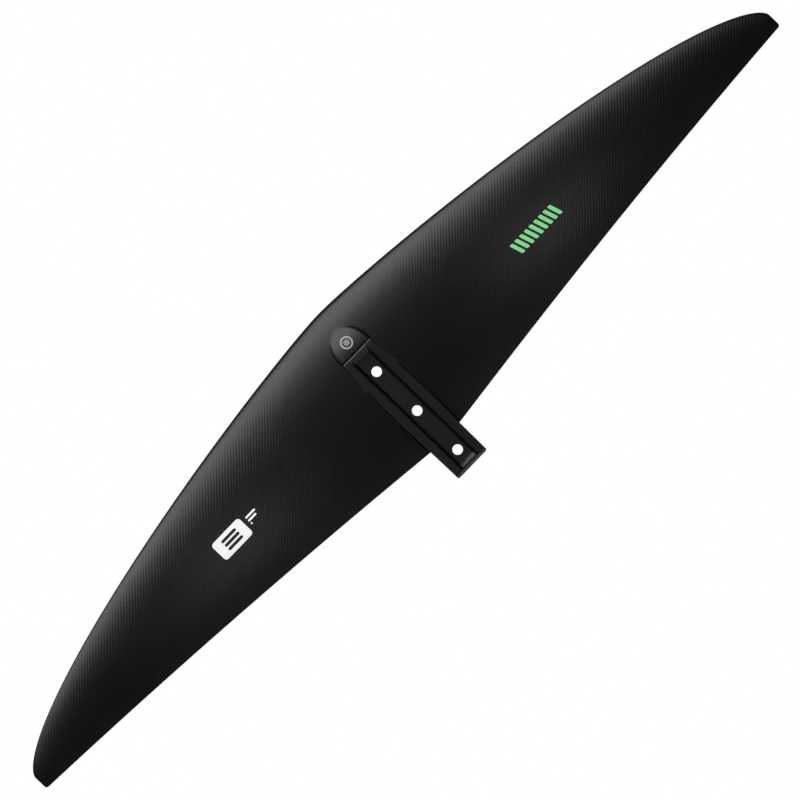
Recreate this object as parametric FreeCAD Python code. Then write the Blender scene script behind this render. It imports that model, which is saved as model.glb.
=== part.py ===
import FreeCAD, Part
import math
import os

# A hydrofoil front wing in carbon laminate, with a three-bolt saddle for the fuselage. Millimetres.
# Origin: the middle bolt's axis at the channel floor. +X towards one tip, +Y aft, +Z up to the fuselage side.

os.makedirs("parts", exist_ok=True)
V = FreeCAD.Vector

# Planform
half_span = 425.0
tip_lead = 16.5
nose_reach = 94.6
nose_power = 1.31
nose_round = 0.6
tail_root = 33.3
tail_taper = 51.7
tail_curve = 14.25
centre_smoothing = 8.0

# Section: a fraction of the chord, with a straight trailing edge of its own thickness
thickness_root = 0.120
thickness_tip = 0.105
camber = 0.025
trailing_half = 0.5
seat_drop = 7.55
droop = 22.0
droop_power = 2.5

# Laminate and bond lines
skin = 1.2
bond = 0.1
cap = 1.0
web = 1.5
laid_in = skin + bond
under_cap = laid_in + cap + bond
spar_front = 0.27
spar_rear = 0.45
filler_front = 0.80

# Least height between the skins where a filling starts, over twice the laid-in depth
core_nose = 0.5
plug_nose = 0.3
filler_tail = 0.2
root_nose = 1.0

# Spanwise joints between pieces
root_half = 17.2
root_rear = 0.90
core_end = 350.0
skin_end = 395.0
skin_stations = (0.0, 20.0, 60.0, 110.0, 165.0, 220.0, 270.0, 315.0, 350.0, 375.0, skin_end)
core_stations = (root_half + bond, 60.0, 110.0, 165.0, 220.0, 270.0, 315.0, core_end)
plug_stations = (core_end + bond, 370.0, 385.0, skin_end)
tip_stations = (skin_end + bond, 405.0, 413.0, 419.0, 423.0, half_span)

# Centre mount
bolt_pitch = 45.0
bolt_hole_r = 4.25
rail_top = 5.0
saddle_base = -3.0
floor_half = 6.8
channel_half = 9.6
channel_front = -59.4
channel_front_lean = 0.2
channel_rear = 54.7
ramp_rear = 58.7
shelf_front = -66.5
shelf_rear = -60.6
shelf_drop = 1.6
shelf_overlap = 1.5
saddle_front = -68.9
saddle_front_half = 15.4
saddle_shoulder_y = -62.0
saddle_half = 17.2
tail_start = 36.0
tail_end = 62.0
tail_half = 16.2
rail_round = 1.5
tail_corner = 1.6

# Keel under the mount
keel_front = -8.0
keel_low = -11.4
keel_low_end = 20.0
keel_tail_low = -8.2
keel_round = 4.0
keel_overrun = 5.0

# Bolt sleeves, countersunk from below
sleeve_r = 6.5
flange_r = 9.5
flange_height = 4.4
sink_r = 8.2
sink_depth = 4.0
sleeve_recess_wing = 0.3
sleeve_recess_keel = 0.2

# Nose fairing
nose_front = -93.7
nose_rear = -69.0
nose_half = 17.2
nose_plan_power = 2.6
nose_section_power = 3.4
crown_front = 3.4
crown_rear = 6.4
nose_base = -6.0
nose_lip = 0.0
nose_tip_dip = 3.0

# Marks laid on the upper skin
mark_lift = 0.02
mark_thickness = 0.2
emblem_y = -78.5
emblem_r = 5.2
badge_x = (161.0, 193.6)
badge_y = (-44.6, -26.2)
badge_corner = 2.8
accent_x = (-191.0, -151.0)
accent_y = (-39.0, -27.0)
accent_corner = 1.5

# Cutters reach well past everything, and this inset is deep enough to reach the mean line
cut_low = -40.0
cut_high = 30.0
to_mean_line = 100.0


def span_fraction(x):
    """0 near the centre and 1 at the tip, smooth across the centre line."""
    return math.hypot(x, centre_smoothing) / math.hypot(half_span, centre_smoothing)


def leading_edge(x):
    reach = max(1.0 - span_fraction(x) ** nose_power, 0.0)
    return -(tip_lead + nose_reach * reach ** nose_round)


def trailing_edge(x):
    s = span_fraction(x)
    return tail_root - tail_taper * s + tail_curve * s * s


def chord(x):
    return trailing_edge(x) - leading_edge(x)


def half_thickness(x, c):
    """Half the section's height at chord fraction c: round nose, fullest at 0.4, straight tail."""
    full = 0.4554
    shape = math.sqrt(c) * (1.0 - c) * (1.0 + 0.5 * c) / full
    ratio = thickness_root + (thickness_tip - thickness_root) * span_fraction(x)
    return 0.5 * ratio * chord(x) * shape + trailing_half * c


def mean_height(x, c):
    arch = camber * chord(x) * 4.0 * c * (1.0 - c)
    return arch - seat_drop - droop * (abs(x) / half_span) ** droop_power


def surface(x, c, side, inset=0.0):
    """A point on the upper (side 1) or lower (side -1) surface, or inset below it, never past the mean line."""
    rise = max(half_thickness(x, c) - inset, 0.0)
    return V(x, leading_edge(x) + c * chord(x), mean_height(x, c) + side * rise)


def reaches(x, height, rising):
    """The chord fraction where the half thickness passes a height, ahead of (rising) or behind the fullest point."""
    low, high = (0.0, 0.4) if rising else (1.0, 0.4)
    for _ in range(40):
        middle = 0.5 * (low + high)
        if half_thickness(x, middle) < height:
            low = middle
        else:
            high = middle
    return high


def travel(row):
    """How far along a row of points each one lies, as a fraction of the whole."""
    steps = [(b - a).Length for a, b in zip(row, row[1:])]
    return [sum(steps[:i]) / sum(steps) for i in range(len(row))]


def spline(row, knots):
    """A spline through a row of points. Rows that share their knots loft cleanly."""
    line = Part.BSplineCurve()
    line.interpolate(Points=row, Parameters=knots)
    return line.toShape()


def curve(x, side, c_from, c_to, inset=0.0, points=13):
    """A spline along one surface at one station, with its points closer together near both ends."""
    shares = [0.5 - 0.5 * math.cos(math.pi * i / (points - 1)) for i in range(points)]
    row = [surface(x, c_from + (c_to - c_from) * share, side, inset) for share in shares]
    knots = shares
    if c_from == 0.0:
        knots = travel([surface(0.0, share, side, inset) for share in shares])
    return spline(row, knots)


def ends(edge):
    return edge.valueAt(edge.FirstParameter), edge.valueAt(edge.LastParameter)


def loft(wires):
    solid = Part.makeLoft(wires, True, False)
    if solid.Volume < 0:
        solid.reverse()
    return solid


def half_section(x, side):
    """The section's upper or lower half, down to the mean line."""
    outside = curve(x, side, 0.0, 1.0)
    mean = curve(x, side, 0.0, 1.0, to_mean_line)
    edges = [outside, Part.LineSegment(ends(outside)[1], ends(mean)[1]).toShape(), mean]
    return Part.Wire(Part.__sortEdges__(edges))


def filling_section(x, c_from, c_to, inset_top, inset_bottom):
    """A section of a piece between the skins, with upright front and rear ends."""
    top = curve(x, 1, c_from, c_to, inset_top)
    bottom = curve(x, -1, c_from, c_to, inset_bottom)
    top_front, top_rear = ends(top)
    low_front, low_rear = ends(bottom)
    edges = [
        top,
        Part.LineSegment(top_rear, low_rear).toShape(),
        bottom,
        Part.LineSegment(low_front, top_front).toShape(),
    ]
    return Part.Wire(Part.__sortEdges__(edges))


def layer_section(x, c_from, c_to, side, inset_outer, inset_inner):
    """A section of a thin layer that follows one surface, such as a spar cap or a printed mark."""
    outer = curve(x, side, c_from, c_to, inset_outer)
    inner = curve(x, side, c_from, c_to, inset_inner)
    outer_front, outer_rear = ends(outer)
    inner_front, inner_rear = ends(inner)
    edges = [
        outer,
        Part.LineSegment(outer_rear, inner_rear).toShape(),
        inner,
        Part.LineSegment(inner_front, outer_front).toShape(),
    ]
    return Part.Wire(Part.__sortEdges__(edges))


def tip_section(x):
    upper = curve(x, 1, 0.0, 1.0)
    lower = curve(x, -1, 0.0, 1.0)
    edges = [upper, Part.LineSegment(ends(upper)[1], ends(lower)[1]).toShape(), lower]
    return Part.Wire(Part.__sortEdges__(edges))


def both_sides(stations):
    """The stations from one tip to the other, with the centre one once."""
    return [-x for x in reversed(stations[1:])] + list(stations)


def mount_outline(grow, front=saddle_front):
    """The mount's plan shape: a narrower front, straight rails and a tapering tail with small round corners."""
    right = [
        (saddle_front_half + grow, front - grow),
        (saddle_half + grow, saddle_shoulder_y),
        (saddle_half + grow, tail_start),
        (tail_half + grow, tail_end + grow),
    ]
    if front > saddle_shoulder_y:
        right = [(saddle_half + grow, front - grow)] + right[2:]
    left = [(-x, y) for x, y in reversed(right)]
    corners = [V(x, y, 0) for x, y in right + left]
    return Part.Face(Part.makePolygon(corners + corners[:1]))


def mount_prism(low, high, grow=0.0, front=saddle_front):
    plate = mount_outline(grow, front)
    plate.translate(V(0, 0, low))
    return plate.extrude(V(0, 0, high - low))


def hull(lower, upper):
    """A straight-sided solid between two corner lists of equal length."""
    wires = [Part.makePolygon([V(*p) for p in ring + ring[:1]]) for ring in (lower, upper)]
    return Part.makeLoft(wires, True, True)


def ring(half_front, half_rear, front, rear, z):
    return [(-half_front, front, z), (half_front, front, z), (half_rear, rear, z), (-half_rear, rear, z)]


def column(y, radius, low, high):
    return Part.makeCylinder(radius, high - low, V(0, y, low))


def channel_cut():
    """The channel with slanted walls, its rear ramp and the sloping shelf ahead of it."""
    spread = (channel_half - floor_half) / rail_top
    above = rail_top + 2.0
    top_half = floor_half + spread * above
    ramp = (ramp_rear - channel_rear) / rail_top
    rear_top = channel_rear + ramp * above
    front_top = channel_front - channel_front_lean * above
    channel = hull(
        ring(floor_half, floor_half, channel_front, channel_rear, 0.0),
        ring(top_half, top_half, front_top, rear_top, above),
    )
    slope = shelf_drop / (shelf_rear - shelf_front)
    profile = [
        V(0, shelf_front, rail_top),
        V(0, shelf_rear + shelf_overlap, rail_top - shelf_drop - shelf_overlap * slope),
        V(0, shelf_rear + shelf_overlap, above),
        V(0, shelf_front, above),
    ]
    shelf = Part.Face(Part.makePolygon(profile + profile[:1])).extrude(V(2.0 * channel_half, 0, 0))
    shelf.translate(V(-channel_half, 0, 0))
    return channel.fuse(shelf)


def near(value, target, reach=0.02):
    return abs(value - target) < reach


def saddle():
    body = mount_prism(saddle_base, rail_top)
    corners = [
        e
        for e in body.Edges
        if near(e.BoundBox.ZLength, rail_top - saddle_base) and e.BoundBox.YMin > tail_end - 0.5
    ]
    body = body.makeFillet(tail_corner, corners)
    rim = [
        e
        for e in body.Edges
        if near(e.BoundBox.ZMin, rail_top) and near(e.BoundBox.ZMax, rail_top) and e.BoundBox.YMax > saddle_front + 1
    ]
    body = body.makeFillet(rail_round, rim)
    body = body.cut(channel_cut())
    for y in bolt_rows():
        body = body.cut(column(y, bolt_hole_r, saddle_base - 1, rail_top))
    return body


def bolt_rows():
    return (-bolt_pitch, 0.0, bolt_pitch)


def keel():
    """The rounded lower half of the mount, from just ahead of the middle bolt to the tail's end."""
    side = [
        V(0, keel_front, saddle_base - bond),
        V(0, tail_end + keel_overrun, saddle_base - bond),
        V(0, tail_end + keel_overrun, keel_tail_low),
        V(0, keel_low_end, keel_low),
        V(0, keel_front, keel_low),
    ]
    wide = Part.Face(Part.makePolygon(side + side[:1])).extrude(V(2.0 * saddle_half, 0, 0))
    wide.translate(V(-saddle_half, 0, 0))
    body = wide.common(mount_prism(cut_low, saddle_base, 0.0, keel_front))
    low_edges = [
        e
        for e in body.Edges
        if e.BoundBox.ZMax < saddle_base - 1.0 and e.BoundBox.YLength > 5.0 and e.BoundBox.XLength < saddle_half
    ]
    body = body.makeFillet(keel_round, low_edges)
    for y in bolt_rows()[1:]:
        low = sleeve_low(y)
        body = body.cut(column(y, sleeve_r + bond, low, saddle_base))
        body = body.cut(column(y, flange_r + bond, cut_low, low + flange_height + bond))
    return body


def sleeve_low(y):
    """Where a sleeve's countersunk end stops: just inside the lower surface at that bolt."""
    if y < keel_front:
        return surface(0.0, (y - leading_edge(0.0)) / chord(0.0), -1).z + sleeve_recess_wing
    slope = (keel_tail_low - keel_low) / (tail_end + keel_overrun - keel_low_end)
    rise = slope * (y + flange_r - keel_low_end)
    return keel_low + max(rise, 0.0) + sleeve_recess_keel


def bolt_sleeve(y):
    low = sleeve_low(y)
    high = saddle_base - bond
    tube = column(y, sleeve_r, low, high).fuse(column(y, flange_r, low, low + flange_height)).removeSplitter()
    tube = tube.cut(column(y, bolt_hole_r, low - 1, high + 1))
    sink = Part.makeCone(sink_r, bolt_hole_r, sink_depth, V(0, y, low))
    return tube.cut(sink)


def sleeve_room(y):
    low = sleeve_low(y)
    shaft = column(y, sleeve_r + bond, low, saddle_base)
    return shaft.fuse(column(y, flange_r + bond, cut_low, low + flange_height + bond))


def root_filling():
    """All the room between the skins at the centre, from just behind the leading edge."""
    wires = []
    for x in (-root_half, -0.5 * root_half, 0.0, 0.5 * root_half, root_half):
        front = reaches(x, laid_in + root_nose, True)
        wires.append(filling_section(x, front, root_rear, laid_in, laid_in))
    return loft(wires)


def slab(y_low, y_high, z_high):
    """A block over the whole centre, between two places along it and up to a height."""
    return Part.makeBox(2.0 * half_span, y_high - y_low, z_high - cut_low, V(-half_span, y_low, cut_low))


def root_block():
    """Solid laminate under the nose fairing, from skin to skin."""
    return root_filling().common(slab(leading_edge(0.0), saddle_front - bond, cut_high))


def root_bed():
    """Solid laminate under the saddle, as far aft as the keel. It holds the front sleeve."""
    under = slab(saddle_front, keel_front - bond, saddle_base - bond)
    return root_filling().common(under).cut(sleeve_room(-bolt_pitch))


def shell(side):
    """One skin from tip piece to tip piece: half of the wing, less what lies inside both skins."""
    stations = both_sides(skin_stations)
    half = loft([half_section(x, side) for x in stations])
    inside = []
    for x in stations:
        front = reaches(x, skin + 0.1, True)
        rear = reaches(x, skin + 0.1, False)
        inside.append(filling_section(x, front, rear, skin, skin))
    return half.cut(loft(inside))


def upper_skin():
    return shell(1).cut(mount_prism(cut_low, cut_high, bond))


def lower_skin():
    return shell(-1).cut(mount_prism(cut_low, cut_high, bond, keel_front)).cut(sleeve_room(-bolt_pitch))


def nose_width(y):
    reach = (nose_rear - y) / (nose_rear - nose_front)
    return nose_half * (1.0 - reach ** nose_plan_power) ** (1.0 / nose_plan_power)


def nose_crown(y):
    reach = (nose_rear - y) / (nose_rear - nose_front)
    return crown_rear - (crown_rear - crown_front) * reach ** 2.0 - nose_tip_dip * reach ** 12.0


def nose_block():
    """The domed fairing as a block that reaches down into the wing, before the wing is cut from it."""
    wires = []
    arch_knots = None
    for share in (0.0, 0.25, 0.5, 0.7, 0.85, 0.94, 0.985):
        y = nose_rear + (nose_front - nose_rear) * share
        half = nose_width(y)
        high = nose_crown(y)
        row = []
        for i in range(13):
            angle = math.pi * i / 12
            across = math.copysign(abs(math.cos(angle)) ** (2.0 / nose_section_power), math.cos(angle))
            up = math.sin(angle) ** (2.0 / nose_section_power)
            row.append(V(half * across, y, nose_base + (high - nose_base) * up))
        base = Part.LineSegment(row[-1], row[0]).toShape()
        wires.append(Part.Wire([spline(row, arch_knots or travel(row)), base]))
        arch_knots = arch_knots or travel(row)
    return loft(wires)


def wing_under_nose():
    """The wing's own volume near the nose, grown by one bond line, to shape the fairing's underside."""
    wires = [filling_section(x, 0.005, 0.5, -bond, -bond) for x in (-26.0, -13.0, 0.0, 13.0, 26.0)]
    return loft(wires)


def nose_fairing():
    lip = slab(leading_edge(0.0), cut_high, nose_lip)
    return largest(nose_block().cut(wing_under_nose()).cut(lip))


def largest(shape):
    return max(shape.Solids, key=lambda solid: solid.Volume)


def nose_emblem():
    disc = column(emblem_y, emblem_r, 0.0, cut_high)
    crown = nose_block()
    crown.translate(V(0, 0, mark_lift))
    raised = nose_block()
    raised.translate(V(0, 0, mark_lift + mark_thickness))
    return largest(disc.common(raised).cut(disc.common(crown)))


def surface_mark(x_range, y_range, corner):
    """A thin rounded panel that follows the upper surface."""
    x_low, x_high = x_range
    y_low, y_high = y_range
    wires = []
    for i in range(4):
        x = x_low - 2.0 + (x_high - x_low + 4.0) * i / 3
        c_from = (y_low - 3.0 - leading_edge(x)) / chord(x)
        c_to = (y_high + 3.0 - leading_edge(x)) / chord(x)
        wires.append(layer_section(x, c_from, c_to, 1, -mark_lift - mark_thickness, -mark_lift))
    tall = cut_high - cut_low
    panel = Part.makeBox(x_high - x_low, y_high - y_low, tall, V(x_low, y_low, cut_low))
    upright = [e for e in panel.Edges if near(e.BoundBox.ZLength, tall)]
    return largest(loft(wires).common(panel.makeFillet(corner, upright)))


def inner_pieces(way):
    """The pieces inside one half of the wing; way is 1 for +X and -1 for -X."""

    def web_share(x):
        return web / chord(x)

    def gap_share(x):
        return bond / chord(x)

    def build(stations, c_from, c_to, inset):
        return loft([filling_section(way * x, c_from(x), c_to(x), inset, inset) for x in stations])

    def strip(side):
        return loft(
            [
                layer_section(way * x, spar_front, spar_rear, side, laid_in, laid_in + cap)
                for x in core_stations
            ]
        )

    return {
        "front_core": build(
            core_stations,
            lambda x: reaches(x, laid_in + core_nose, True),
            lambda x: spar_front - gap_share(x),
            laid_in,
        ),
        "spar_core": build(
            core_stations,
            lambda x: spar_front,
            lambda x: spar_rear - web_share(x) - gap_share(x),
            under_cap,
        ),
        "shear_web": build(
            core_stations,
            lambda x: spar_rear - web_share(x),
            lambda x: spar_rear,
            under_cap,
        ),
        "rear_core": build(
            core_stations,
            lambda x: spar_rear + gap_share(x),
            lambda x: filler_front - gap_share(x),
            laid_in,
        ),
        "trailing_filler": build(
            core_stations,
            lambda x: filler_front,
            lambda x: reaches(x, laid_in + filler_tail, False),
            laid_in,
        ),
        "tip_plug": build(
            plug_stations,
            lambda x: reaches(x, laid_in + plug_nose, True),
            lambda x: reaches(x, laid_in + filler_tail, False),
            laid_in,
        ),
        "spar_cap_upper": strip(1),
        "spar_cap_lower": strip(-1),
        "tip_cap": loft([tip_section(way * x) for x in tip_stations]),
    }


pieces = {
    "upper_skin": upper_skin(),
    "lower_skin": lower_skin(),
    "saddle": saddle(),
    "keel_fairing": keel(),
    "root_block": root_block(),
    "root_bed": root_bed(),
    "nose_fairing": nose_fairing(),
    "nose_emblem": nose_emblem(),
    "size_badge": surface_mark(badge_x, badge_y, badge_corner),
    "accent_mark": surface_mark(accent_x, accent_y, accent_corner),
}
for y, place in zip(bolt_rows(), ("front", "middle", "rear")):
    pieces["bolt_sleeve_" + place] = bolt_sleeve(y)
for way, hand in ((1, "badge_side"), (-1, "accent_side")):
    for name, solid in inner_pieces(way).items():
        pieces[name + "_" + hand] = solid

for name, shape in pieces.items():
    print(name, len(shape.Solids), "solids", shape.isValid(), round(shape.Volume, 1), "mm3")
    shape.exportStep("parts/" + name + ".step")
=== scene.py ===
# %% [markdown]
# # A carbon hydrofoil wing, piece by piece
#
# The wing flies under a board, and a fuselage bolts into the channel at its centre. It is made of moulded
# carbon skins, a saddle with two rails, a domed nose fairing and a keel under the saddle. Nothing on it
# moves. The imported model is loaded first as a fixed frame, and every finished piece is built where that
# frame says it belongs.

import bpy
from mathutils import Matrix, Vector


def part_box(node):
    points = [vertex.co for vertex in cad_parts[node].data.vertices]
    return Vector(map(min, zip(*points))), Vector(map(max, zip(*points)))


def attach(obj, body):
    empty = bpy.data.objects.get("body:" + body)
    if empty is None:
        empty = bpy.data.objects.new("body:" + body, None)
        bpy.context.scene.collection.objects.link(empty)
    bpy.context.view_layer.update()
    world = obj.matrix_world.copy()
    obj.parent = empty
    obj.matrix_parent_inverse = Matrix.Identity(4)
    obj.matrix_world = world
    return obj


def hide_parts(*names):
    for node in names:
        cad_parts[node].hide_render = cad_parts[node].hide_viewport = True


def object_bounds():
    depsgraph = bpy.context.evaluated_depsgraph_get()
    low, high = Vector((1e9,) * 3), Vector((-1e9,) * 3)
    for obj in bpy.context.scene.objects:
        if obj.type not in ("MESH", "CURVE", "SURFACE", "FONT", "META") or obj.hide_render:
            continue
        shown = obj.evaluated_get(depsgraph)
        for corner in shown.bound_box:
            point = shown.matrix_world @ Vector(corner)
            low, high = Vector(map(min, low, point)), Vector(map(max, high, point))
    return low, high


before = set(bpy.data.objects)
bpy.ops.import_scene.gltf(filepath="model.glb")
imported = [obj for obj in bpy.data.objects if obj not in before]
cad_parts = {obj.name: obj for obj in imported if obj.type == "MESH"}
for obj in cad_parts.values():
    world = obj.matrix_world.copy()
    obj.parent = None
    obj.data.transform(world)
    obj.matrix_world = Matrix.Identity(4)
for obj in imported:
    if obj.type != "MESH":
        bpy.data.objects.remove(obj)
cad_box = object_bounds()
print("frame box, m:", [tuple(round(v, 4) for v in corner) for corner in cad_box])

# %% Blender's own modules
import math

import bmesh
import bpy
from mathutils import Matrix, Vector

MM = 0.001
ROOT = "root"

# %% [markdown]
# ## The wing's lines
#
# A foil wing is drawn by three things: its outline in plan, the shape of its section, and how far it droops
# towards the tips. All three are smooth formulas here, so that the same surface can be asked for its height
# at any place: the skins, the fairing's foot and the printed marks all follow it. Lengths are in
# millimetres until the end.

# %% Sizes taken from the frame
half_span = cad_box[1].x / MM
saddle_low, saddle_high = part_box("saddle")
rail_top = saddle_high.z / MM
saddle_base = saddle_low.z / MM
tail_end = saddle_high.y / MM
rail_half = saddle_high.x / MM
skin_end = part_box("upper_skin")[1].x / MM
nose_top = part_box("nose_fairing")[1].z / MM
sleeve_boxes = {place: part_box("bolt_sleeve_" + place) for place in ("front", "middle", "rear")}
bolt_rows = {place: 0.5 * (low.y + high.y) / MM for place, (low, high) in sleeve_boxes.items()}
print("half span", round(half_span, 1), "rails", round(rail_half, 2), "bolts", bolt_rows)

# %% The outline and the section
tip_lead = 16.5
inset = 0.01
nose_reach = 94.6
tail_root = 33.3
tail_taper = 51.7
tail_curve = 14.25
centre_smoothing = 8.0
tip_corner = 2.4
thickness_root = 0.120
thickness_tip = 0.105
camber = 0.025
trailing_half = 0.5
seat_drop = 7.55
droop = 22.0


def span_fraction(x):
    return math.hypot(x, centre_smoothing) / math.hypot(half_span, centre_smoothing)


def leading_edge(x):
    reach = max(1.0 - span_fraction(x) ** 1.31, 0.0)
    return inset - (tip_lead + nose_reach * reach ** 0.6)


def trailing_edge(x):
    s = span_fraction(x)
    past = max(abs(x) - (half_span - tip_corner), 0.0)
    round_off = tip_corner - math.sqrt(max(tip_corner ** 2 - past ** 2, 0.0))
    return tail_root - tail_taper * s + tail_curve * s * s - round_off


def chord(x):
    return trailing_edge(x) - leading_edge(x)


def half_thickness(x, c):
    shape = math.sqrt(c) * (1.0 - c) * (1.0 + 0.5 * c) / 0.4554
    ratio = thickness_root + (thickness_tip - thickness_root) * span_fraction(x)
    return 0.5 * ratio * chord(x) * shape + trailing_half * c


def mean_height(x, c):
    return camber * chord(x) * 4.0 * c * (1.0 - c) - seat_drop - droop * (abs(x) / half_span) ** 2.5


print("root chord", round(chord(0.0), 1), "tip chord", round(chord(half_span - 3.0), 1))

# %% [markdown]
# ## Where the skin meets the saddle
#
# On a moulded wing the skin doesn't stop dead at the rails. Amidships it turns up against them in a small
# round fillet. Ahead of the bolts and further aft there is a narrow seam instead.

# %% Heights over the plan
fillet = 1.0
fillet_start = -48.0
fillet_end = -9.0
fillet_blend = 8.0
below_rail = 0.04
groove = 0.5
groove_blend = 2.0
rail_front = -68.2
rail_front_half = 15.7
shoulder_end = -49.0
side_blend = 20.0
waist = 0.4
waist_start = 10.0
tail_start = 31.0
tail_start_half = 16.7
tail_half = 16.35
plan_corner = 1.6


def eased(t):
    t = min(max(t, 0.0), 1.0)
    return t * t * (3.0 - 2.0 * t)


def corner_loss(away):
    """How much narrower the mount is near one of its ends, where its corners are rounded in plan."""
    short = max(plan_corner - away, 0.0)
    return plan_corner - math.sqrt(plan_corner ** 2 - min(short, plan_corner) ** 2)


def side_line(y):
    """Half the mount's width along its sides: widening from the front, then drawn in a little to the tail."""
    if y < shoulder_end:
        return rail_front_half + (rail_half - rail_front_half) * eased((y - rail_front) / side_blend)
    if y < tail_start:
        return rail_half - waist * eased((y - waist_start) / side_blend)
    share = (y - tail_start) / (tail_end - tail_start)
    return tail_start_half + (tail_half - tail_start_half) * share


def rail_width(y):
    """Half the mount's width at one place along it, with its corners rounded."""
    return side_line(y) - corner_loss(min(y - rail_front, tail_end - y))


def skin_height(x, c, side):
    return mean_height(x, c) + side * half_thickness(x, c)


def fillet_rise(x, y, z):
    """How the skin meets the rail: a small round fillet amidships, a narrow seam ahead of it and behind."""
    away = max(abs(x) - rail_width(y), 0.0)
    amid = eased((y - fillet_start) / fillet_blend) * (1.0 - eased((y - fillet_end) / fillet_blend))
    corner = fillet - math.sqrt(fillet ** 2 - max(fillet - away, 0.0) ** 2)
    corner = min(corner, max(rail_top - below_rail - z, 0.0))
    seam = (1.0 - amid) * eased((y - rail_front) / groove_blend)
    return amid * corner - seam * groove * (1.0 - eased(away / fillet))


def top_height(x, y):
    """The upper surface's height over a point of the plan."""
    c = min(max((y - leading_edge(x)) / chord(x), 0.0), 1.0)
    z = skin_height(x, c, 1)
    return z + fillet_rise(x, y, z)


print("skin top beside the rails", round(top_height(20.0, -20.0), 2), "rail top", round(rail_top, 2))

# %% [markdown]
# ## Turning a bmesh into a finished piece
#
# Each piece is shaped in a bmesh in millimetres, scaled to metres at the end, and handed to the frame.
# Faces are shaded smooth, and an edge whose two faces meet at a clear angle is marked sharp, as a moulded
# part's edge is.

# %% Finishing helper
materials = {}


def finished(name, bm, material, replaces=(), sharp_degrees=32.0, recalculate=True):
    if recalculate:
        bmesh.ops.recalc_face_normals(bm, faces=bm.faces)
    bmesh.ops.scale(bm, vec=(MM, MM, MM), verts=bm.verts)
    for face in bm.faces:
        face.smooth = True
    for edge in bm.edges:
        edge.smooth = edge.calc_face_angle(0.0) < math.radians(sharp_degrees)
    mesh = bpy.data.meshes.new(name)
    bm.to_mesh(mesh)
    bm.free()
    piece = bpy.data.objects.new(name, mesh)
    bpy.context.scene.collection.objects.link(piece)
    mesh.materials.append(materials[material])
    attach(piece, ROOT)
    if replaces:
        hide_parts(*replaces)
    print(name, len(mesh.polygons), "faces")
    return piece


def grid(columns, rows):
    """A flat grid to bend into shape, and a way to read each vertex's column and row."""
    bm = bmesh.new()
    bmesh.ops.create_grid(bm, x_segments=columns - 1, y_segments=rows - 1, size=1.0)

    def place(vert):
        column = round((vert.co.x + 1.0) * 0.5 * (columns - 1))
        row = round((vert.co.y + 1.0) * 0.5 * (rows - 1))
        return column, row

    return bm, place


def drill(piece, cutter_bm):
    """Cuts one closed bmesh out of a finished piece."""
    bmesh.ops.recalc_face_normals(cutter_bm, faces=cutter_bm.faces)
    bmesh.ops.scale(cutter_bm, vec=(MM, MM, MM), verts=cutter_bm.verts)
    mesh = bpy.data.meshes.new("cutter")
    cutter_bm.to_mesh(mesh)
    cutter_bm.free()
    cutter = bpy.data.objects.new("cutter", mesh)
    bpy.context.scene.collection.objects.link(cutter)
    cut = piece.modifiers.new("drill", "BOOLEAN")
    cut.object = cutter
    cut.operation = "DIFFERENCE"
    cut.solver = "EXACT"
    shaped = bpy.data.meshes.new_from_object(piece.evaluated_get(bpy.context.evaluated_depsgraph_get()))
    piece.modifiers.remove(cut)
    old = piece.data
    piece.data = shaped
    bpy.data.meshes.remove(old)
    bpy.data.objects.remove(cutter)
    bpy.data.meshes.remove(mesh)


def lathe(profile, centre_y, steps=96):
    """A closed turned shape about an upright axis, from a profile of (radius, height) that ends where it starts."""
    bm = bmesh.new()
    verts = [bm.verts.new((radius, centre_y, z)) for radius, z in profile]
    edges = [bm.edges.new((a, b)) for a, b in zip(verts, verts[1:] + verts[:1])]
    bmesh.ops.spin(
        bm, geom=verts + edges, cent=(0.0, centre_y, 0.0), axis=(0.0, 0.0, 1.0),
        angle=math.tau, steps=steps, use_merge=True,
    )
    bmesh.ops.remove_doubles(bm, verts=bm.verts, dist=0.001)
    return bm


print("helpers ready")

# %% [markdown]
# ## Paint and carbon
#
# The surface is a fine twill of carbon under a satin clear coat. In such a cloth each tow passes over two
# and under two of those it crosses, one step further along in each row, and that is what draws the faint
# diagonal lines. Tows that run along the span and across it catch the light differently, so the weave is
# worked out as a mask that shifts colour, roughness and height a little. A small class lets the maths read
# as ordinary sums.

# %% Shader maths as sums
class Signal:
    """One number in a material. Sums on it add Math nodes."""

    def __init__(self, finish, socket):
        self.finish = finish
        self.socket = socket

    def maths(self, operation, *others):
        values = {0: self}
        for i, other in enumerate(others):
            values[i + 1] = other
        node = self.finish.add("ShaderNodeMath", {"operation": operation}, values)
        return Signal(self.finish, node.outputs[0])

    def __add__(self, other):
        return self.maths("ADD", other)

    def __radd__(self, other):
        return self.maths("ADD", other)

    def __sub__(self, other):
        return self.maths("SUBTRACT", other)

    def __rsub__(self, other):
        return (self * -1.0) + other

    def __mul__(self, other):
        return self.maths("MULTIPLY", other)

    def __rmul__(self, other):
        return self.maths("MULTIPLY", other)

    def __truediv__(self, other):
        return self.maths("DIVIDE", other)


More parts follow.
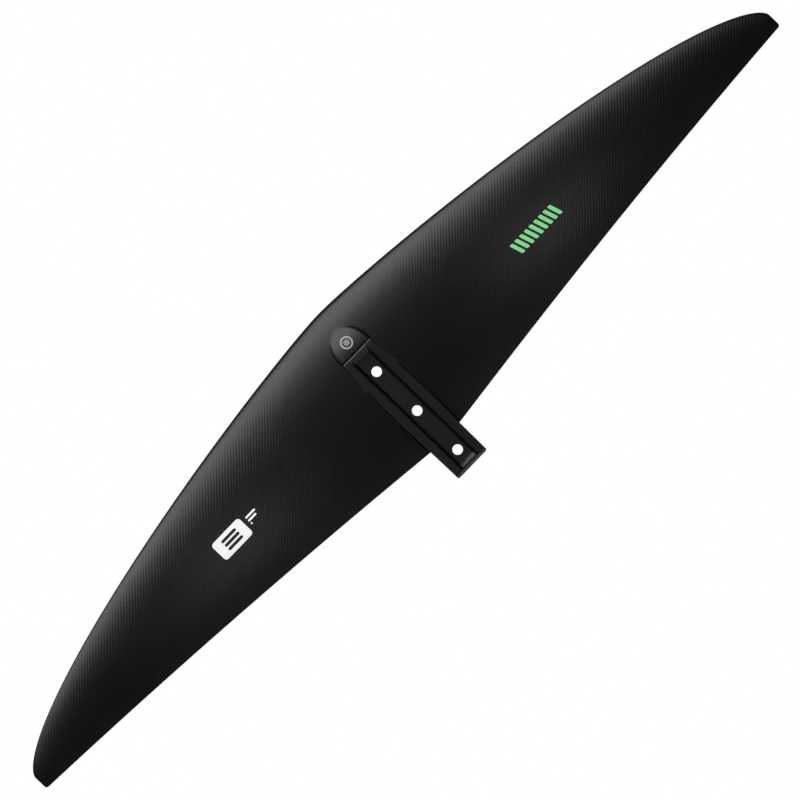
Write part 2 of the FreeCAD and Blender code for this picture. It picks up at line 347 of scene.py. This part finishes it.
class Finish:
    """A material being built: one Principled shader, and the nodes that feed it."""

    def __init__(self, name, **constants):
        self.material = bpy.data.materials.new(name)
        self.material.use_nodes = True
        self.tree = self.material.node_tree
        self.tree.nodes.clear()
        self.shader = self.add("ShaderNodeBsdfPrincipled")
        self.add("ShaderNodeOutputMaterial", inputs={"Surface": self.shader.outputs[0]})
        for socket, value in constants.items():
            self.shader.inputs[socket.replace("_", " ")].default_value = value
        materials[name] = self.material

    def add(self, kind, settings=None, inputs=None):
        node = self.tree.nodes.new(kind)
        for key, value in (settings or {}).items():
            if key == "stops":
                self.set_ramp(node.color_ramp, value)
            else:
                setattr(node, key, value)
        for key, value in (inputs or {}).items():
            if isinstance(value, Signal):
                self.tree.links.new(value.socket, node.inputs[key])
            elif isinstance(value, bpy.types.NodeSocket):
                self.tree.links.new(value, node.inputs[key])
            else:
                node.inputs[key].default_value = value
        return node

    def set_ramp(self, ramp, stops):
        while len(ramp.elements) < len(stops):
            ramp.elements.new(0.5)
        for element, (place, colour) in zip(ramp.elements, stops):
            element.position = place
            element.color = colour

    def feed(self, socket, value):
        link = value.socket if isinstance(value, Signal) else value
        self.tree.links.new(link, self.shader.inputs[socket])

    def position(self):
        """The point's own x, y and z on the piece, in metres."""
        node = self.add("ShaderNodeTexCoord")
        split = self.add("ShaderNodeSeparateXYZ", inputs={0: node.outputs["Object"]})
        return node.outputs["Object"], [Signal(self, out) for out in split.outputs]

    def mix(self, factor, first, second):
        node = self.add(
            "ShaderNodeMix", {"data_type": "RGBA"}, {"Factor": factor, "A": first, "B": second}
        )
        return node.outputs["Result"]

    def noise(self, vector, scale, detail=2.0):
        node = self.add(
            "ShaderNodeTexNoise", None, {"Vector": vector, "Scale": scale, "Detail": detail}
        )
        return Signal(self, node.outputs["Fac"])

    def bump(self, height, strength, distance):
        node = self.add(
            "ShaderNodeBump", None, {"Height": height, "Strength": strength, "Distance": distance}
        )
        self.feed("Normal", node.outputs[0])


def grey(level):
    return (level, level, level, 1.0)


print("shader helpers ready")

# %% The carbon finish
tow = 0.82 * MM
tow_relief = 0.055 * MM


def carbon(name, dark, light, rough_low, rough_high, weave_depth, specular):
    finish = Finish(name, Specular_IOR_Level=specular)
    vector, (x, y, z) = finish.position()
    across = x / tow
    along = y / tow
    step = (across.maths("FLOOR") - along.maths("FLOOR")) * 0.25
    over = step.maths("FRACT").maths("LESS_THAN", 0.5)
    tow_x = along.maths("FRACT") - 0.5
    tow_y = across.maths("FRACT") - 0.5
    crown_x = 1.0 - tow_x * tow_x * 4.0
    crown_y = 1.0 - tow_y * tow_y * 4.0
    crown = crown_x * over + crown_y * (1.0 - over)
    wale = ((across - along) * (0.25 * math.tau)).maths("COSINE")
    cloud = finish.noise(vector, 14.0, 3.0)
    patch = finish.noise(vector, 55.0, 2.0)
    speck = finish.noise(vector, 900.0, 1.0)
    tone = over * 0.5 + wale * 0.15 + cloud * 0.2 + speck * 0.15 + 0.1
    finish.feed("Base Color", finish.mix(tone, grey(dark), grey(light)))
    rough = cloud * 0.8 + speck * 0.3 + over * -0.1
    finish.feed("Roughness", rough * (rough_high - rough_low) + rough_low)
    outboard = (x * x * 90.0).maths("MINIMUM", 1.0)
    ribs = wale * (patch * 1.5 + 0.2) * outboard
    finish.bump(crown * 0.3 + ribs + cloud * 0.4, weave_depth, tow_relief)
    return finish


carbon("carbon", 0.001, 0.006, 0.28, 0.38, 0.42, 0.42)
carbon("mount_laminate", 0.001, 0.003, 0.38, 0.43, 0.05, 0.5)
carbon("laminate", 0.008, 0.016, 0.50, 0.60, 0.30, 0.5)
print(sorted(materials))

# %% Foam, sleeves and inks
def plain(name, colour, rough, metallic=0.0, grain=900.0, depth=0.2, glow=0.0):
    # glow makes the finish give off light of its own in its colour: painted light, since no piece here is a lamp
    finish = Finish(name, Metallic=metallic, Emission_Color=colour + (1.0,), Emission_Strength=glow)
    vector, _ = finish.position()
    speck = finish.noise(vector, grain, 2.0)
    shade = tuple(0.92 * level for level in colour) + (1.0,)
    finish.feed("Base Color", finish.mix(speck, shade, colour + (1.0,)))
    finish.feed("Roughness", speck * 0.12 + (rough - 0.06))
    finish.bump(speck, depth, 0.02 * MM)
    return finish


plain("foam", (0.62, 0.60, 0.52), 0.85, grain=1500.0, depth=0.6)
plain("sleeve", (0.05, 0.05, 0.055), 0.38, metallic=0.8)
# The white and green inks get a faint glow: painted light that makes them read brighter than the lamps alone make
# them
plain("white_print", (0.97, 0.97, 0.97), 0.45, glow=0.18)
plain("grey_print", (0.5, 0.5, 0.5), 0.45)
plain("green_print", (0.28, 0.80, 0.34), 0.45, glow=0.08)
print(sorted(materials))

# %% [markdown]
# ## The skins
#
# Each skin could be a lofted curve or a subdivided cage. A grid whose columns are stations along the span
# and whose rows close up towards the leading edge keeps the section exact where it bends hardest. The grid
# is extruded onto itself for the inside face, which stops at the mean line, where the two skins are bonded
# together. The middle is left open where the saddle and the keel drop in.

# %% Stations along the span
window_half = 13.0
skin_thickness = 1.2
chord_steps = 76


def spread(start, finish, first, growth, largest):
    """Places from start to finish whose spacing grows."""
    places = [start]
    step = first
    while places[-1] + step < finish:
        places.append(places[-1] + step)
        step = min(step * growth, largest)
    places.append(finish)
    return places


outer = spread(window_half, skin_end, 0.45, 1.09, 3.6)
stations = [-x for x in reversed(outer)] + [-8.0, -3.0, 3.0, 8.0] + outer
print(len(stations), "stations")

# %% The upper and lower skin
def share_of(row, steps):
    return 0.5 - 0.5 * math.cos(math.pi * row / steps)


def skin_shell(side, window_front):
    bm, place = grid(len(stations), chord_steps + 1)
    share = bm.verts.layers.float.new("share")
    for vert in bm.verts:
        column, row = place(vert)
        x = stations[column]
        c = share_of(row, chord_steps)
        y = leading_edge(x) + c * chord(x)
        z = skin_height(x, c, side)
        if side > 0:
            z += fillet_rise(x, y, z)
        vert[share] = c
        vert.co = (x, y, z)
    opening = [
        face
        for face in bm.faces
        if abs(face.calc_center_median().x) < window_half and face.calc_center_median().y > window_front
    ]
    bmesh.ops.delete(bm, geom=opening, context="FACES")
    inside = bmesh.ops.extrude_face_region(bm, geom=bm.faces[:], use_keep_orig=True)["geom"]
    for vert in [item for item in inside if isinstance(item, bmesh.types.BMVert)]:
        mean = mean_height(vert.co.x, vert[share])
        depth = max(half_thickness(vert.co.x, vert[share]) - skin_thickness, 0.0)
        vert.co.z = mean + side * depth
    return bm


upper = finished("upper_shell", skin_shell(1, -64.0), "carbon", ["upper_skin"])
lower = finished("lower_shell", skin_shell(-1, -2.0), "carbon", ["lower_skin"])

# %% [markdown]
# ## The tips
#
# Past the foam the wing is solid laminate. Each tip is one grid wrapped round the section from the upper
# trailing edge over the nose to the lower one. Its stations bunch up at the end, where the thickness rounds
# off to nothing.

# %% Tip caps
tip_steps = 34
wrap_steps = 60
edge_round = 1.1


def tip_cap(way):
    bm, place = grid(tip_steps + 1, 2 * wrap_steps + 1)
    for vert in bm.verts:
        column, row = place(vert)
        x = skin_end + (half_span - skin_end) * math.sin(0.5 * math.pi * column / tip_steps)
        side = 1 if row <= wrap_steps else -1
        c = share_of(abs(row - wrap_steps), wrap_steps)
        past = max(x - (half_span - edge_round), 0.0) / edge_round
        swell = math.sqrt(max(1.0 - past * past, 0.0))
        z = mean_height(x, c) + side * swell * half_thickness(x, c)
        vert.co = (way * x, leading_edge(x) + c * chord(x), z)
    rim = [edge for edge in bm.edges if edge.is_boundary]
    bmesh.ops.holes_fill(bm, edges=rim, sides=0)
    bmesh.ops.remove_doubles(bm, verts=bm.verts, dist=0.002)
    return bm


for hand, way in (("badge_side", 1), ("accent_side", -1)):
    finished("tip_" + hand, tip_cap(way), "carbon", ["tip_cap_" + hand])

# %% [markdown]
# ## The saddle
#
# The saddle is a block with a channel in it, so it starts as a coarse grid: nine strips across and one row
# for each change along the channel. The strips are the rails with their rounded outer edges, the slanted
# walls and the floor. Raising the floor at the ends makes the front shelf and the rear ramp. The top falls
# away at both ends as a chamfer, and a bevel softens the long inner edges.

# %% Saddle block
wall_slope = 0.56
floor_half = 6.8
land = rail_top
lip = 0.05
shelf_height = 3.1
shelf_half = 7.0
ramp_height = 1.1
ramp_half = 7.4
ramp_top_half = 9.6
edge_radius = 1.3
edge_shoulder = 0.38
inner_radius = 0.5
shelf_rear = -61.0
wall_foot_front = -58.7
ramp_front = 54.6
ramp_rear = 57.9
ramp_top = 59.0
end_lip = 59.8
saddle_rows = (
    # y, floor height, rail height, half-width of the floor (None: where the leaning wall meets it)
    (rail_front, land - 0.95, land - 0.95, None),
    (rail_front + 0.2, land - 0.7, land - 0.7, None),
    (rail_front + 0.7, land - 0.46, land - 0.46, None),
    (rail_front + 2.0, land - lip, land, None),
    (shelf_rear, shelf_height, land, shelf_half),
    (wall_foot_front, 0.0, land, None),
    (-40.0, 0.0, land, None),
    (-15.0, 0.0, land, None),
    (10.0, 0.0, land, None),
    (tail_start, 0.0, land, None),
    (ramp_front, 0.0, land, None),
    (ramp_rear, ramp_height, land, ramp_half),
    (ramp_top, land - lip, land, ramp_top_half),
    (end_lip, land, land, None),
    (tail_end - 1.2, land - 0.55, land - 0.55, None),
    (tail_end - 0.5, land - 0.95, land - 0.95, None),
    (tail_end - 0.15, land - 1.2, land - 1.2, None),
    (tail_end, land - 1.6, land - 1.6, None),
)


def saddle_block():
    bm, place = grid(10, len(saddle_rows))
    for vert in bm.verts:
        column, row = place(vert)
        y, floor, rail, foot = saddle_rows[row]
        wide = rail_width(y)
        wall_top = floor_half + wall_slope * land
        wall_foot = foot or floor_half + wall_slope * floor
        side = min(column, 9 - column)
        across = (wide, wide - edge_shoulder, wide - edge_radius, wall_top, wall_foot)[side]
        z = (rail - edge_radius, rail - edge_shoulder, rail, rail, floor)[side]
        vert.co = (math.copysign(across, column - 4.5), y, z)
    rim = [edge for edge in bm.edges if edge.is_boundary]
    skirt = bmesh.ops.extrude_edge_only(bm, edges=rim)["geom"]
    for vert in [item for item in skirt if isinstance(item, bmesh.types.BMVert)]:
        vert.co.z = saddle_base
    bmesh.ops.holes_fill(bm, edges=[edge for edge in bm.edges if edge.is_boundary], sides=0)
    bmesh.ops.remove_doubles(bm, verts=bm.verts, dist=0.01)
    bmesh.ops.recalc_face_normals(bm, faces=bm.faces)
    return bm


def edges_where(bm, test, least_degrees=12.0):
    """Edges that turn by a clear angle and whose middle passes a test."""
    found = []
    for edge in bm.edges:
        middle = 0.5 * (edge.verts[0].co + edge.verts[1].co)
        if edge.calc_face_angle(0.0) > math.radians(least_degrees) and test(edge, middle):
            found.append(edge)
    return found


def soften(bm, edges, width, segments=4):
    bmesh.ops.bevel(
        bm, geom=edges, offset=width, offset_type="OFFSET", affect="EDGES", segments=segments,
        profile=0.5, material=-1, clamp_overlap=True,
    )


block = saddle_block()
inside = edges_where(
    block, lambda e, m: abs(m.x) < 11.0 and m.z > -0.5 and -57.0 < m.y < 54.0, 20.0
)
soften(block, inside, inner_radius)
saddle = finished("saddle_rails", block, "mount_laminate", ["saddle"])

# %% [markdown]
# ## Bolt holes
#
# The three holes go right through the mount. A turned cutter with a slightly flared mouth makes the hole
# and breaks its edge in one cut, and a weighted-normal modifier keeps the flat faces round it looking flat.

# %% Drill the saddle
hole_r = 4.25
mouth = 0.1


def hole_cutter(y, radius, low, high, flare):
    profile = [
        (0.0, low),
        (radius, low),
        (radius, high - flare),
        (radius + flare + 1.0, high + 1.0),
        (0.0, high + 1.0),
    ]
    return lathe(profile, y)


def flat_faces(piece):
    weighted = piece.modifiers.new("flat", "WEIGHTED_NORMAL")
    weighted.keep_sharp = True
    weighted.weight = 90


for y in bolt_rows.values():
    drill(saddle, hole_cutter(y, hole_r, saddle_base - 2.0, 0.0, mouth))
flat_faces(saddle)
print("saddle", len(saddle.data.polygons), "faces")

# %% [markdown]
# ## The nose fairing
#
# The fairing carries the fuselage's round back down to the wing. Seen from above it is a bullet: a crown
# that narrows towards the front, and a wall that falls from it to a wider, rounder foot. Both outlines are
# superellipses about the middle of the square back, so a fan of spokes crosses each of them once. Along a
# spoke the surface keeps the crown's height, rolls over a soft shoulder, and drops to meet the wing at the
# foot.

# %% Fairing shape
nose_rear = -69.0
foot_half = 16.8
foot_length = 23.6
foot_power = 2.05
crown_half = 13.2
crown_length = 21.8
crown_power = 1.95
crown_start_slope = 0.03
crown_fall = 0.0095
shoulder_start = 1.8
shoulder_round = 0.9
nose_high = nose_top - 0.1
nose_rings = 72
nose_spokes = 120


def reach_along(angle, half, length, power):
    """How far a superellipse lies from the middle of the fairing's back, in one direction of the plan."""
    across = (abs(math.cos(angle)) / half) ** power
    ahead = (abs(math.sin(angle)) / length) ** power
    return (across + ahead) ** (-1.0 / power)


def crown_height(x, y):
    ahead = max(nose_rear - y, 0.0)
    return nose_high - crown_start_slope * ahead - crown_fall * ahead ** 2 - 0.003 * x * x


def nose_height(x, y):
    """The fairing's surface, or the wing's where the fairing has run out."""
    ground = top_height(x, y)
    away = math.hypot(x, y - nose_rear)
    angle = math.atan2(max(nose_rear - y, 0.0), x)
    crown_edge = reach_along(angle, crown_half, crown_length, crown_power)
    foot = reach_along(angle, foot_half, foot_length, foot_power)
    t = (away - crown_edge) / (foot - crown_edge)
    if t >= 1.0:
        return ground
    full = max(crown_height(x, y) - ground, 0.0)
    shoulder = (1.0 - max(t, 0.0) ** shoulder_start) ** shoulder_round
    return ground + full * shoulder


def nose_mesh():
    bm, place = grid(nose_rings + 1, nose_spokes + 1)
    for vert in bm.verts:
        column, row = place(vert)
        angle = math.pi * row / nose_spokes
        away = (column / nose_rings) ** 0.8 * reach_along(angle, foot_half, foot_length, foot_power)
        x = away * math.cos(angle)
        y = nose_rear - away * math.sin(angle)
        vert.co = (x, y, nose_height(x, y) + 0.01)
    bmesh.ops.remove_doubles(bm, verts=bm.verts, dist=0.001)
    rim = [edge for edge in bm.edges if edge.is_boundary]
    skirt = bmesh.ops.extrude_edge_only(bm, edges=rim)["geom"]
    for vert in [item for item in skirt if isinstance(item, bmesh.types.BMVert)]:
        vert.co.z = min(vert.co.z - 2.0, 1.0)
    bmesh.ops.holes_fill(bm, edges=[edge for edge in bm.edges if edge.is_boundary], sides=0)
    return bm


finished("nose_dome", nose_mesh(), "mount_laminate", ["nose_fairing"], 50.0)

# %% [markdown]
# ## The keel
#
# Under the saddle the mount shows as a rounded keel that grows out of the lower skin and carries the rear
# bolt. Its sections are squarish ovals, swept aft and drawn in at the very end.

# %% Keel shape
keel_front = -24.0
keel_run_in = 20.0
keel_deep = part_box("keel_fairing")[0].z / MM
keel_tail = -8.5
keel_steps = 60
keel_wrap = 48


def keel_depth(y):
    deep = keel_deep + 0.5 * (1.0 - eased((y - keel_front) / 24.0))
    return deep + (keel_tail - keel_deep) * eased((y - 14.0) / 56.0) * 1.25


def keel_mesh():
    bm, place = grid(keel_steps + 1, keel_wrap + 1)
    for vert in bm.verts:
        column, row = place(vert)
        share = column / keel_steps
        y = keel_front + (tail_end - keel_front) * math.sin(0.5 * math.pi * share)
        past = max(y - (tail_end - 1.6), 0.0) / 1.6
        draw_in = 1.6 * (1.0 - math.sqrt(max(1.0 - past * past, 0.0)))
        half = rail_width(y) - draw_in
        low = keel_depth(y) + draw_in
        top = saddle_base + 0.05
        angle = math.pi * row / keel_wrap
        across = math.copysign(abs(math.cos(angle)) ** 0.42, math.cos(angle))
        down = math.sin(angle) ** 0.42
        vert.co = (half * across, y, top + (low - top) * down)
    bmesh.ops.holes_fill(bm, edges=[edge for edge in bm.edges if edge.is_boundary], sides=0)
    return bm


keel = finished("keel", keel_mesh(), "mount_laminate", ["keel_fairing"], 50.0)

# %% Sleeves and their seats
sleeve_r = 6.5
flange_r = 9.5
flange_height = 4.4
sink_r = 8.2
sink_depth = 4.0


def sleeve_profile(low, high):
    edge = 0.35
    return [
        (hole_r, high),
        (hole_r, low + sink_depth),
        (sink_r, low),
        (flange_r - edge, low),
        (flange_r, low + edge),
        (flange_r, low + flange_height),
        (sleeve_r, low + flange_height),
        (sleeve_r, high),
    ]


for place_name, y in bolt_rows.items():
    low, high = (corner.z / MM for corner in sleeve_boxes[place_name])
    if y < keel_front + flange_r + keel_run_in:
        drill(lower, hole_cutter(y, flange_r + 0.08, low - 6.0, low + flange_height - 0.5, 0.0))
    if y > keel_front:
        drill(keel, hole_cutter(y, flange_r + 0.08, low - 6.0, low + flange_height - 0.5, 0.0))
        drill(keel, hole_cutter(y, sleeve_r + 0.05, low, saddle_base, 0.0))
    finished(
        "sleeve_" + place_name, lathe(sleeve_profile(low, high), y), "sleeve",
        ["bolt_sleeve_" + place_name],
    )
flat_faces(keel)

# %% [markdown]
# ## Printed marks
#
# Ink lies on the skin as a film too thin to feel. Each mark is a small rounded panel that takes its height
# from the surface under it. The panel starts as a square grid, and its corners are pushed in onto round
# arcs. The marks are plain shapes of their own: a badge with bars, a row of slanted strokes and a ring.

# %% Panels that follow a surface
film = 0.05


def film_panel(bm, centre, size, corner, height, slant=0.0, cuts=12, lift=film):
    """Adds one rounded panel, with its middle and full size in the plan."""
    added = bmesh.ops.create_grid(bm, x_segments=cuts, y_segments=cuts, size=1.0)["verts"]
    half = (0.5 * size[0], 0.5 * size[1])
    for vert in added:
        ring = max(abs(vert.co.x), abs(vert.co.y), 1e-6)
        px = half[0] * vert.co.x / ring
        py = half[1] * vert.co.y / ring
        over_x = abs(px) - (half[0] - corner)
        over_y = abs(py) - (half[1] - corner)
        if over_x > 0.0 and over_y > 0.0:
            pull = corner / math.hypot(over_x, over_y)
            px = math.copysign(half[0] - corner + over_x * pull, px)
            py = math.copysign(half[1] - corner + over_y * pull, py)
        x = centre[0] + ring * (px + slant * py)
        y = centre[1] + ring * py
        vert.co = (x, y, height(x, y) + lift)


def film_ring(bm, centre, outer_r, inner_r, height, sides=64, lift=film):
    loops = []
    for radius in (inner_r, 0.5 * (inner_r + outer_r), outer_r):
        made = bmesh.ops.create_circle(bm, cap_ends=False, radius=radius, segments=sides)["verts"]
        for vert in made:
            vert.co.x += centre[0]
            vert.co.y += centre[1]
            vert.co.z = height(vert.co.x, vert.co.y) + lift
        loops.append({edge for vert in made for edge in vert.link_edges})
    for first, second in zip(loops, loops[1:]):
        bmesh.ops.bridge_loops(bm, edges=list(first | second))


def film_piece(name, bm, material, replaces=()):
    for face in bm.faces:
        if face.normal.z < 0.0:
            face.normal_flip()
    base = bmesh.ops.extrude_face_region(bm, geom=bm.faces[:], use_keep_orig=True)["geom"]
    for vert in [item for item in base if isinstance(item, bmesh.types.BMVert)]:
        vert.co.z -= 2.0 * film
    return finished(name, bm, material, replaces)


print("film helpers ready")

# %% Badge and small print
badge_low, badge_high = (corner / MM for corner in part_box("size_badge"))
badge_middle = (0.5 * (badge_low.x + badge_high.x) - 0.3, 0.5 * (badge_low.y + badge_high.y))
badge_size = (badge_high.x - badge_low.x - 1.2, badge_high.y - badge_low.y - 0.9)

bm = bmesh.new()
film_panel(bm, badge_middle, badge_size, 2.8, top_height, cuts=24)
# The badge's white ink carries its faint painted glow
film_piece("badge", bm, "white_print", ["size_badge"])

bar_size = (16.0, 2.5)
bar_pitch = 4.0
bm = bmesh.new()
for i in (-1, 0, 1):
    centre = (badge_middle[0], badge_middle[1] + bar_pitch * i)
    film_panel(bm, centre, bar_size, 1.2, top_height, lift=2 * film)
film_piece("badge_bars", bm, "mount_laminate")

bm = bmesh.new()
small_x = badge_low.x - 8.8
for offset, length, shift in ((-3.9, 10.6, 0.0), (-0.7, 8.8, 0.9), (2.2, 1.3, 4.6)):
    film_panel(bm, (small_x + shift, badge_middle[1] + offset), (length, 1.7), 0.6, top_height)
# The small print's white ink carries its faint painted glow
film_piece("small_print", bm, "white_print")

# %% Green accent mark
accent_low, accent_high = (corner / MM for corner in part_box("accent_mark"))
accent_middle = (0.5 * (accent_low.x + accent_high.x), 0.5 * (accent_low.y + accent_high.y))
stroke_pitch = 5.4
stroke_size = (3.3, 11.6)
stroke_slant = -0.3
bm = bmesh.new()
for i in range(-4, 5):
    centre = (accent_middle[0] + stroke_pitch * i, accent_middle[1] + 0.9)
    film_panel(bm, centre, stroke_size, 0.9, top_height, stroke_slant)
# The green strokes' ink carries its faint painted glow
film_piece("accent_strokes", bm, "green_print", ["accent_mark"])

# %% Ring on the fairing
emblem_low, emblem_high = (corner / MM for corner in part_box("nose_emblem"))
emblem_middle = (0.0, 0.5 * (emblem_low.y + emblem_high.y))
bm = bmesh.new()
film_ring(bm, emblem_middle, 5.2, 4.1, nose_height)
for offset, length in ((-1.6, 4.6), (0.0, 5.6), (1.6, 4.6)):
    film_panel(bm, (0.0, emblem_middle[1] + offset), (length, 0.8), 0.35, nose_height)
film_piece("nose_ring", bm, "grey_print", ["nose_emblem"])

# %% [markdown]
# ## The hidden pieces
#
# Foam, spars and plugs stay as they come from the frame. They can't be seen, but each still gets its own
# finish.

# %% Finish the carried-over nodes
def inner_finish(node):
    return "foam" if "core" in node else "laminate"


kept = [name for name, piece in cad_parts.items() if not piece.hide_render]
for name in kept:
    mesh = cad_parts[name].data
    mesh.materials.clear()
    mesh.materials.append(materials[inner_finish(name)])
print(len(kept), "nodes kept:", kept)

# %% [markdown]
# ## Backdrop, light and camera
#
# Satin black shows mostly what it reflects, so the light is what draws this wing. A broad soft light stands
# ahead of the leading edge, a weaker one behind the tail, one below, and a faint even glow fills the rest.
# The backdrop is a plain white ball around everything. It is only for the eye, so that it throws nothing
# onto the wing.

# %% Backdrop
backdrop_radius = 40.0


def white_stage(name, bm):
    mesh = bpy.data.meshes.new(name)
    bm.to_mesh(mesh)
    bm.free()
    piece = bpy.data.objects.new(name, mesh)
    bpy.context.scene.collection.objects.link(piece)
    material = bpy.data.materials.new(name + "_white")
    material.use_nodes = True
    nodes = material.node_tree.nodes
    nodes.clear()
    glow = nodes.new("ShaderNodeEmission")
    glow.inputs["Color"].default_value = grey(1.0)
    glow.inputs["Strength"].default_value = 1.0
    output = nodes.new("ShaderNodeOutputMaterial")
    material.node_tree.links.new(glow.outputs[0], output.inputs["Surface"])
    mesh.materials.append(material)
    piece.visible_diffuse = False
    piece.visible_glossy = False
    piece.visible_shadow = False
    return piece


bm = bmesh.new()
bmesh.ops.create_uvsphere(bm, u_segments=48, v_segments=24, radius=backdrop_radius)
bmesh.ops.reverse_faces(bm, faces=bm.faces)
white_stage("backdrop", bm)

# %% Lights
def soft_light(name, place, size, power):
    data = bpy.data.lights.new(name, "AREA")
    data.shape = "RECTANGLE"
    data.size, data.size_y = size
    data.energy = power
    light = bpy.data.objects.new(name, data)
    light.location = place
    light.rotation_euler = (-Vector(place)).to_track_quat("-Z", "Y").to_euler()
    light.visible_camera = False
    bpy.context.scene.collection.objects.link(light)
    return light


soft_light("front_softbox", (0.08, -1.40, 1.44), (2.5, 1.2), 38.0)
soft_light("rear_softbox", (0.0, 1.7, 1.0), (2.0, 0.6), 12.0)
soft_light("rim_strip", (1.1, -1.6, 0.85), (0.9, 0.25), 4.0)
soft_light("under_softbox", (0.0, -0.6, -1.6), (2.0, 1.2), 20.0)
for way in (-1, 1):
    overhead = soft_light("overhead_lamp", (way * 0.22, 0.03, 0.33), (0.06, 0.18), 0.065)
    overhead.rotation_euler = (0.0, 0.0, 0.0)

world = bpy.data.worlds.new("even_glow")
world.use_nodes = True
world.node_tree.nodes["Background"].inputs["Color"].default_value = grey(1.0)
world.node_tree.nodes["Background"].inputs["Strength"].default_value = 0.03
bpy.context.scene.world = world
print("lights set")

# %% Camera, straight above the wing
view_width = 0.6408
view_distance = 12.0
view_centre = (0.0034, -0.0158)
turn_degrees = 133.87

camera_data = bpy.data.cameras.new("camera")
camera_data.sensor_width = 36.0
camera_data.lens = camera_data.sensor_width * view_distance / view_width
camera_data.clip_end = 200.0
camera = bpy.data.objects.new("camera", camera_data)
camera.location = (view_centre[0], view_centre[1], view_distance)
camera.rotation_euler = (0.0, 0.0, math.radians(turn_degrees))
bpy.context.scene.collection.objects.link(camera)
bpy.context.scene.camera = camera
bpy.context.scene.view_settings.view_transform = "Standard"
print("lens", round(camera_data.lens, 1), "mm")
